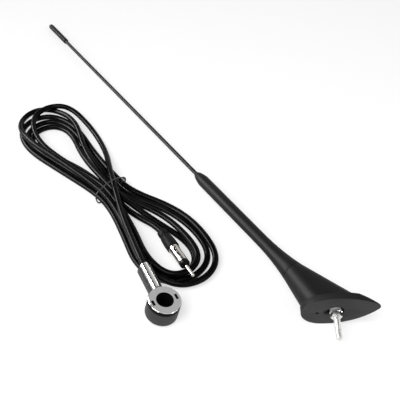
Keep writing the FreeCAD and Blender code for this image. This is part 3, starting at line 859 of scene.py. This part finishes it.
def frame_pose(place: Triple, across: Triple, axis: Triple) -> Matrix:
    """The pose of a frame in the model.

    Args:
        place: Its origin in millimetres.
        across: Its X axis.
        axis: Its Z axis.

    Returns:
        The pose in metres.
    """
    upright = Vector(axis).normalized()
    first = (Vector(across) - upright * upright.dot(Vector(across))).normalized()
    columns = (first, upright.cross(first), upright)
    turn = Matrix(columns).transposed().to_4x4()
    return Matrix.Translation(Vector(place) * MM) @ turn


def settle(piece: bpy.types.Object, *nodes: str) -> None:
    """Lets a piece stand for some of the model's nodes: puts it on their body and hides them.

    Args:
        piece: The object.
        nodes: The nodes' names, all on one body and in one slot.
    """
    record = frame["record"]
    body = next(name for name, members in record["behaviour"]["bodies"].items() if nodes[0] in members)
    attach(piece, body)
    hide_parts(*nodes)
    log.info("%s stands for %s on %s", piece.name, ", ".join(nodes), body)


@dataclass
class EdgeBreaker:
    """Breaks the sharp edges of the model's nodes, as a mould or a barrel finish does."""

    wardrobe: Wardrobe
    sharp: float = 38.0
    flat: float = 0.6
    weld: float = 0.002 * MM
    segments: int = 2

    def soften(self, node: str, finish: Finish, width: float, turn: Matrix | None = None) -> bpy.types.Object:
        """Makes a copy of a node with rounded edges, which stands for it.

        Args:
            node: The node's name.
            finish: Its finish.
            width: The width of the rounding in metres.
            turn: A turn of the copy, if it has one.

        Returns:
            The copy.
        """
        mesh = frame["nodes"][node].data.copy()
        if turn:
            mesh.transform(turn)
        shape = bmesh.new()
        shape.from_mesh(mesh)
        bmesh.ops.remove_doubles(shape, verts=shape.verts, dist=self.weld)
        bmesh.ops.dissolve_limit(
            shape, angle_limit=math.radians(self.flat), verts=shape.verts, edges=shape.edges
        )
        shape.to_mesh(mesh)
        shape.free()
        piece = new_object(node + "_softened", mesh)
        rounding = piece.modifiers.new("rounding", "BEVEL")
        rounding.width = width
        rounding.segments = self.segments
        rounding.limit_method = "ANGLE"
        rounding.angle_limit = math.radians(self.sharp)
        rounding.use_clamp_overlap = True
        harden(piece)
        smooth_faces(piece.data, self.sharp)
        self.wardrobe.dress(piece, finish)
        settle(piece, node)
        return piece


@dataclass
class StudHardware:
    """The threaded stud and its star washer."""

    wardrobe: Wardrobe
    pose: Matrix
    diameter: float = 5.0 * MM
    pitch: float = 0.8 * MM
    groove: float = 0.46 * MM
    flank_slope: float = 1.5
    groove_floor: float = 0.3
    lead_in: float = 0.72
    reach: float = 24.0 * MM
    head_start: float = 9.0 * MM
    head: float = 2.6 * MM
    head_radius: float = 4.5 * MM
    sides: int = 36
    pitch_rows: int = 8
    plain_rows: int = 26
    end_row: float = 0.01 * MM
    weld: float = 0.001 * MM
    crease: float = 30.0
    washer_level: float = -1.2 * MM
    washer_thick: float = 0.7 * MM
    washer_root: float = 3.3 * MM
    washer_tip: float = 4.9 * MM
    washer_band: float = 0.9 * MM
    washer_inset: float = 0.35 * MM
    washer_sides: int = 48
    washer_teeth: int = 10
    # The width of all teeth together, in root radii
    teeth_span: float = 4.0
    tooth_sink: float = 0.3 * MM
    tooth_twist: float = 24.0

    def build_stud(self) -> bpy.types.Object:
        """Cuts the thread: a tube whose radius follows the thread round and along it.

        Returns:
            The stud.
        """
        tree = ShapeTree("threaded_stud")
        length = tree.size("Length", self.reach + self.head_start + self.head)
        pitch = tree.size("Pitch", self.pitch)
        radius = tree.size("Radius", self.diameter / 2)
        groove = tree.size("Groove", self.groove)
        neck = tree.size("Neck", self.reach + self.head_start)
        head = tree.size("Head", self.head_radius)
        rows = self.pitch_rows * int((self.reach + self.head_start) / self.pitch) + self.plain_rows
        inputs = {"Size X": 1.0, "Size Y": 1.0, "Vertices X": self.sides + 1, "Vertices Y": rows}
        sheet = tree.node("GeometryNodeMeshGrid", None, inputs, "Mesh")
        place = tree.node("GeometryNodeInputPosition")
        around = tree.node("ShaderNodeSeparateXYZ", None, {0: place}, "X")
        along = (tree.node("ShaderNodeSeparateXYZ", None, {0: place}, "Y") + 0.5) * length
        flanks = (along / pitch - around).wave() * self.flank_slope - self.groove_floor
        thread = radius - groove + groove * flanks.least(1.0).most(0.0)
        tapered = thread.least(radius * self.lead_in + along)
        outline = tapered + along.above(neck) * (head - tapered)
        closed = outline * along.above(self.end_row) * (1.0 - along.above(length - self.end_row))
        angle = around * (2 * math.pi)
        wall = tree.vector(closed * angle.cosine(), closed * angle.sine(), along)
        turned = tree.node("GeometryNodeSetPosition", None, {"Geometry": sheet, "Position": wall})
        inputs = {"Geometry": turned, "Distance": self.weld}
        merged = tree.node("GeometryNodeMergeByDistance", None, inputs)
        lowered = self.pose @ Matrix.Translation((0.0, 0.0, -self.reach))
        stud = tree.piece(merged, self.wardrobe.material(Finish.PLATED_STEEL), lowered)
        smooth_faces(stud.data, self.crease)
        settle(stud, "mounting_stud")
        return stud

    def build_washer(self) -> bpy.types.Object:
        """Stamps the star washer: a ring with twisted teeth round it.

        Returns:
            The washer.
        """
        tree = ShapeTree("star_washer")
        thick = tree.size("Thickness", self.washer_thick)
        root = tree.size("Root radius", self.washer_root)
        tip = tree.size("Tip radius", self.washer_tip)
        twist = tree.size("Twist", math.radians(self.tooth_twist))
        tooth_length = tip - root + self.tooth_sink
        tooth_width = root * (self.teeth_span / self.washer_teeth)
        box_size = tree.vector(tooth_length, tooth_width, thick)
        plate = tree.node("GeometryNodeMeshCube", None, {"Size": box_size}, "Mesh")
        inputs = {
            "Geometry": plate,
            "Translation": tree.vector((tip + root - self.tooth_sink) / 2.0, 0.0, 0.0),
            "Rotation": tree.vector(twist, 0.0, 0.0),
        }
        tooth = tree.node("GeometryNodeTransform", None, inputs)
        points = tree.node("GeometryNodePoints", None, {"Count": self.washer_teeth})
        number = tree.node("GeometryNodeInputIndex")
        turn = tree.vector(0.0, 0.0, number * (2 * math.pi / self.washer_teeth))
        inputs = {"Points": points, "Instance": tooth, "Rotation": turn}
        teeth = tree.node("GeometryNodeInstanceOnPoints", None, inputs)
        inputs = {"Resolution": self.washer_sides, "Radius": root - self.washer_inset}
        circle = tree.node("GeometryNodeCurvePrimitiveCircle", None, inputs)
        inputs = {"Width": self.washer_band, "Height": thick}
        section = tree.node("GeometryNodeCurvePrimitiveQuadrilateral", None, inputs)
        ring = tree.node("GeometryNodeCurveToMesh", None, {"Curve": circle, "Profile Curve": section})
        pose = self.pose @ Matrix.Translation((0.0, 0.0, self.washer_level + self.washer_thick / 2))
        washer = tree.piece(tree.joined(ring, teeth), self.wardrobe.material(Finish.PLATED_STEEL), pose)
        settle(washer, "lock_washer")
        return washer


@dataclass
class WireTie:
    """The wire tie round the hank: one loop over the strands, hooked together at one side."""

    wardrobe: Wardrobe
    radius: float = 0.65 * MM
    bevel: int = 3
    steps: int = 6
    crease: float = 50.0
    # The wire in millimetres: along the tie's line, forwards of it, and level
    run: tuple[Triple, ...] = (
        (16.0, 3.0, 7.6),
        (18.6, 2.2, 8.4),
        (18.8, 1.2, 11.4),
        (15.2, 0.3, 13.2),
        (10.0, 0.0, 15.6),
        (4.2, 0.0, 17.2),
        (-2.5, 0.0, 17.9),
        (-7.4, 0.0, 16.7),
        (-13.0, 0.0, 15.8),
        (-16.6, 0.0, 14.6),
        (-18.2, 0.0, 11.2),
        (-17.8, 0.0, 6.0),
        (-15.8, 0.0, 1.4),
        (-12.0, 0.0, 0.7),
        (0.0, 0.0, 0.7),
        (12.0, 0.0, 0.7),
        (18.4, -0.5, 0.9),
        (20.4, -0.8, 4.4),
        (19.4, -0.4, 9.0),
        (16.4, 0.8, 11.4),
        (14.4, 2.0, 9.6),
    )

    def spot(self, along: float, forward: float, level: float) -> Vector:
        """A point of the tie in the model.

        Args:
            along: Its place along the tie's line, in millimetres.
            forward: How far it stands forwards of that line.
            level: Its level.

        Returns:
            The place in metres.
        """
        ahead = Vector((TIE_LINE.y, -TIE_LINE.x))
        return lifted(Vector(TIE_PLACE) + TIE_LINE * along + ahead * forward, level) * MM

    def build(self) -> bpy.types.Object:
        """Bends the wire round the hank.

        Returns:
            The tie.
        """
        route = [self.spot(*point) for point in self.run]
        line = draw_line("wire_tie_line", route, self.radius, self.bevel, self.steps)
        tie = new_object("wire_tie", final_mesh(line))
        bpy.data.objects.remove(line)
        smooth_faces(tie.data, self.crease)
        self.wardrobe.dress(tie, Finish.TIE_PLASTIC)
        settle(tie, "cable_tie")
        return tie


@dataclass(frozen=True)
class Loop:
    """One loop of the hank in millimetres: out from the tie, round its end and back.

    The loop's middle is where it is widest. Its two sides are given there and half-way
    to the tie, the side that it goes out by first; its levels run the same way round.
    """

    middle: Pair
    end: float
    sides: Pair
    halfway: Pair
    levels: tuple[float, float, float, float, float]


@dataclass
class FeederLead:
    """The coaxial lead, from the ring connector through the tied hank to the radio plug.

    Its route is in millimetres.
    """

    wardrobe: Wardrobe
    diameter: float = 5.6 * MM
    bevel: int = 5
    steps: int = 10
    tie_gap: float = 14.0
    # Where a loop's points lie: as shares of its reach from the tie, of its end, and of its sides
    half_back: float = 0.45
    side_back: float = 0.1
    shoulder_out: float = 0.8
    shoulder_wide: float = 0.74
    top_out: float = 1.1
    ring_end: tuple[Triple, ...] = (
        (-12.7, -184.6, 18.8),
        (-20.2, -169.4, 19.4),
        (-31.0, -139.0, 14.5),
        (-38.0, -120.0, 13.8),
        (-44.5, -100.0, 12.6),
    )
    plug_end: tuple[Triple, ...] = (
        (-42.0, -93.0, 4.6),
        (-27.0, -108.0, 6.0),
        (-7.8, -123.0, 8.4),
        (-0.3, -138.1, 10.8),
    )
    # How far along the tie's line, and how high, each strand passes through the tie
    strands: tuple[Pair, ...] = (
        (9.6, 13.6),
        (-3.6, 8.8),
        (5.6, 4.6),
        (-8.8, 9.2),
        (16.2, 4.6),
        (-11.2, 2.8),
        (10.8, 2.8),
        (-5.2, 3.2),
        (2.8, 8.2),
        (1.4, 2.8),
    )
    loops: tuple[Loop, ...] = (
        Loop((-114, 19), 40.5, (28.5, 31), (24.5, 19.5), (2.8, 3, 10.8, 8.2, 7)),
        Loop((3.5, -151.5), 26, (22.6, 22.8), (9, 23), (5.8, 13, 8, 8, 4.4)),
        Loop((-126, 20.5), 42.2, (26, 32), (8.6, 19), (7.4, 10, 5, 12.6, 10.8)),
        Loop((8, -149.5), 37.5, (33.6, 33), (18.4, 35), (7.8, 10.4, 5.8, 8.6, 2.8)),
        Loop((-126, 14.5), 36.4, (28, 31), (19.8, 22), (2.8, 2.8, 2.8, 2.8, 3.2)),
        Loop((3, -146), 34.5, (33, 32.4), (20.6, 29), (2.8, 2.8, 2.8, 3.4, 2.8)),
        Loop((-123.5, 11), 29.2, (23.7, 27), (14.2, 14.4), (2.8, 2.8, 3.4, 7.8, 2.8)),
        Loop((1, -150), 25.8, (23, 23), (12.2, 13), (2.8, 5.8, 2.8, 2.8, 2.8)),
        Loop((-123.8, 7.4), 23, (21.2, 21.4), (6.4, 4.5), (7.4, 2.8, 3.2, 3.2, 2.8)),
    )

    def loop_points(self, loop: Loop, leaving: Pair, coming: Pair) -> list[Vector]:
        """The points of one loop between two passes through the tie.

        Args:
            loop: The loop's sizes.
            leaving: Where the strand leaves the tie: along the tie's line, and its level.
            coming: Where it comes back.

        Returns:
            Control points in millimetres.
        """
        tie = Vector(TIE_PLACE)
        middle = Vector(loop.middle)
        reach = (middle - tie).length
        outward = (middle - tie).normalized()
        aside = Vector((outward.y, -outward.x))
        out_half, out_side, top, back_side, back_half = loop.levels
        rows = (
            (-self.half_back * reach, loop.halfway[0], out_half),
            (-self.side_back * loop.end, loop.sides[0], out_side),
            (self.shoulder_out * loop.end, self.shoulder_wide * loop.sides[0], top),
            (self.top_out * loop.end, 0.0, top),
            (self.shoulder_out * loop.end, -self.shoulder_wide * loop.sides[1], top),
            (-self.side_back * loop.end, -loop.sides[1], back_side),
            (-self.half_back * reach, -loop.halfway[1], back_half),
        )
        points = [lifted(middle + outward * far + aside * wide, level) for far, wide, level in rows]
        first, last = (
            lifted(tie + TIE_LINE * across + outward * self.tie_gap, level)
            for across, level in (leaving, coming)
        )
        return [first, *points, last]

    def points(self) -> list[Vector]:
        """The lead's line, from the ring connector to the plug.

        Returns:
            All its control points in metres.
        """
        route = [Vector(point) for point in self.ring_end]
        for loop, leaving, coming in zip(self.loops, self.strands, self.strands[1:]):
            route += self.loop_points(loop, leaving, coming)
        route += [Vector(point) for point in self.plug_end]
        return [point * MM for point in route]

    def build(self) -> bpy.types.Object:
        """Draws the lead as one smooth curve.

        Returns:
            The curve.
        """
        lead = draw_line("feeder_lead", self.points(), self.diameter / 2, self.bevel, self.steps)
        self.wardrobe.dress(lead, Finish.CABLE_JACKET)
        return lead

    def declare(self, lead: bpy.types.Object) -> None:
        """Puts the lead on the foot's body, hides the cable nodes that it stands for, and logs its length.

        Args:
            lead: The curve.
        """
        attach(lead, "foot")
        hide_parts("cable_hank", "cable_ring_tail", "cable_plug_tail")
        tuple(self.points()[0])
        log.info("feeder_lead is %.2f m long", self.length(lead))

    def length(self, lead: bpy.types.Object) -> float:
        """The length of the lead's curve in metres."""
        return lead.data.splines[0].calc_length()


@dataclass(frozen=True)
class Lamp:
    """A soft rectangular light, in metres and watts."""

    name: str
    place: Triple
    size: Pair
    power: float
    lights_matt: bool = True

    def hang(self, target: Triple) -> None:
        """Hangs the light.

        Args:
            target: What it points at.
        """
        data = bpy.data.lights.new(self.name, "AREA")
        data.shape = "RECTANGLE"
        data.size, data.size_y = self.size
        data.energy = self.power
        lamp = new_object(self.name, data)
        lamp.location = self.place
        lamp.rotation_euler = (Vector(target) - Vector(self.place)).to_track_quat("-Z", "Y").to_euler()
        lamp.visible_diffuse = self.lights_matt


@dataclass
class Studio:
    """Table, background, lights and camera, in metres and degrees."""

    look_at: Triple = (29.41 * MM, -79.25 * MM, 0.0)
    distance: float = 616.19 * MM
    elevation: float = 44.0
    lens: float = 58.23
    sensor: float = 36.0
    clip_start: float = 0.01
    # A softbox above the front, a panel at the left for the highlights, and a strip for the edges
    lamps: tuple[Lamp, ...] = (
        Lamp("softbox", (-0.35, -0.6, 1.0), (0.9, 0.8), 14.0),
        Lamp("panel", (-0.94, 0.09, 0.48), (1.2, 0.3), 36.0, lights_matt=False),
        Lamp("strip", (0.95, -0.75, 0.55), (0.25, 0.8), 3.0),
    )
    lamp_target: Triple = (0.05, -0.1, 0.0)
    ambient: float = 0.9
    ceiling: float = 0.12
    backdrop_edge: Pair = (0.54, 0.74)
    dark_side: Pair = (-0.5, 0.05)
    white: tuple[float, float, float, float] = (1.0, 1.0, 1.0, 1.0)
    table_size: float = 4.0
    table_colour: tuple[float, float, float, float] = (0.95, 0.95, 0.95, 1.0)
    table_roughness: float = 0.9
    table_specular: float = 0.1
    table_glow: float = 0.55

    def camera(self) -> None:
        """Puts the camera where the photograph was taken."""
        data = bpy.data.cameras.new("camera")
        data.lens = self.lens
        data.sensor_width = self.sensor
        data.clip_start = self.clip_start
        tilt = math.radians(self.elevation)
        camera = new_object("camera", data)
        camera.location = Vector(self.look_at) + self.distance * Vector((0, -math.cos(tilt), math.sin(tilt)))
        camera.rotation_euler = (math.pi / 2 - tilt, 0, 0)
        bpy.context.scene.camera = camera

    def world(self) -> None:
        """A white backdrop from the horizon upwards, under a dark ceiling; gloss mirrors a dark left."""
        world = bpy.data.worlds.new("room")
        bpy.context.scene.world = world
        world.use_nodes = True
        room = NodeMaker(world.node_tree)
        direction = room.node("ShaderNodeTexCoord", output="Generated")
        height = room.node("ShaderNodeSeparateXYZ", None, {0: direction}, "Z")
        across = room.node("ShaderNodeSeparateXYZ", None, {0: direction}, "X")
        backdrop = 1.0 - height.step(*self.backdrop_edge)
        ambient = self.ceiling + backdrop * (self.ambient - self.ceiling)
        mirrored = self.ceiling + backdrop * across.step(*self.dark_side) * (1.0 - self.ceiling)
        glossy = room.ray("Is Glossy Ray", "Is Transmission Ray")
        seen = room.ray("Is Camera Ray")
        strength = (ambient + glossy * (mirrored - ambient)) * (1.0 - seen) + seen
        background = world.node_tree.nodes["Background"]
        room.feed(background.inputs["Strength"], strength)
        room.feed(background.inputs["Color"], self.white)

    def table(self) -> None:
        """A wide white table that keeps soft shadows."""
        mesh = bpy.data.meshes.new("table")
        shape = bmesh.new()
        bmesh.ops.create_grid(shape, x_segments=1, y_segments=1, size=self.table_size)
        shape.to_mesh(mesh)
        shape.free()
        table = new_object("table", mesh)
        graph = Graph("table_white")
        graph.finish(
            Base_Color=self.table_colour,
            Roughness=self.table_roughness,
            Specular_IOR_Level=self.table_specular,
        )
        glow = graph.node("ShaderNodeEmission", None, {"Color": self.white, "Strength": 1.0})
        seen = graph.ray("Is Camera Ray", "Is Glossy Ray", "Is Transmission Ray") * self.table_glow
        plain = Value(graph, graph.shader.outputs[0])
        mixed = graph.node("ShaderNodeMixShader", None, {0: seen, 1: plain, 2: glow})
        graph.feed(graph.tree.nodes["Material Output"].inputs["Surface"], mixed)
        mesh.materials.append(graph.material)

    def build(self) -> None:
        """Sets up the whole studio."""
        bpy.context.scene.view_settings.view_transform = "Standard"
        self.camera()
        for lamp in self.lamps:
            lamp.hang(self.lamp_target)
        self.world()
        self.table()


FOOT_POSE = frame_pose(FOOT_PLACE, FOOT_TOE, STUD_AXIS)
PLUG_POSE = frame_pose(PLUG_PLACE, UPRIGHT, PLUG_AXIS)
SLOT_TURN = Matrix.Rotation(math.radians(45.0), 4, "Z")
PLUG_TURN = PLUG_POSE @ SLOT_TURN @ PLUG_POSE.inverted()

# The nodes that keep their own shape
KEPT_NODES = {
    Finish.SOFT_BLACK: ("tip_cap",),
    Finish.WHIP_BLACK: ("whip_rod",),
    Finish.SEAL: ("mast_seal",),
    Finish.BRASS: ("mast_ferrule", "foot_bush", "contact_strap"),
    # the contact disc gets the painted shade finish
    Finish.CONTACT_DISC_SHADE: ("contact_disc",),
    Finish.CAST_ALLOY: ("carrier_plate",),
    Finish.NICKEL: ("ring_contact",),
    Finish.PLUG_NICKEL: ("plug_pin",),
    Finish.BLACK_PLASTIC: ("plug_insulator",),
}
KEPT_FITTINGS = ("ring_contact", "contact_disc", "plug_insulator", "plug_pin")


def dress_model(wardrobe: Wardrobe) -> None:
    """Gives the nodes that stay as they are their finish.

    Args:
        wardrobe: The finishes.
    """
    for finish, names in KEPT_NODES.items():
        wardrobe.dress_nodes(finish, *names)


def build_foot(wardrobe: Wardrobe) -> None:
    """Finishes the foot and the mast's sleeve.

    Args:
        wardrobe: The finishes.
    """
    edges = EdgeBreaker(wardrobe)
    edges.soften("mast_sleeve", Finish.SOFT_BLACK, width=0.35 * MM)
    edges.soften("foot_housing", Finish.SOFT_BLACK, width=0.35 * MM)
    edges.soften("foot_gasket", Finish.RUBBER, width=0.5 * MM)
    edges.soften("hex_nut", Finish.PLATED_STEEL, width=0.25 * MM)
    hardware = StudHardware(wardrobe, FOOT_POSE)
    hardware.build_stud()
    hardware.build_washer()


def build_lead(wardrobe: Wardrobe) -> None:
    """Lays the lead with its fittings.

    Args:
        wardrobe: The finishes.
    """
    edges = EdgeBreaker(wardrobe)
    fittings = [
        edges.soften("ring_body", Finish.GREY_PLASTIC, width=0.35 * MM),
        edges.soften("plug_boot", Finish.BOOT_PLASTIC, width=0.35 * MM),
        edges.soften("plug_sleeve", Finish.PLUG_NICKEL, width=0.12 * MM, turn=PLUG_TURN),
        WireTie(wardrobe).build(),
    ]
    fittings += [frame["nodes"][name] for name in KEPT_FITTINGS]
    lead_maker = FeederLead(wardrobe)
    lead_maker.declare(lead_maker.build())


def main() -> None:
    """Builds and dresses the antenna and its lead, piece by piece."""
    logging.basicConfig(level=logging.INFO, format="%(message)s")
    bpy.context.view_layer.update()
    wardrobe = Wardrobe()
    dress_model(wardrobe)
    build_foot(wardrobe)
    build_lead(wardrobe)
    Studio().build()


if __name__ == "__main__":
    main()
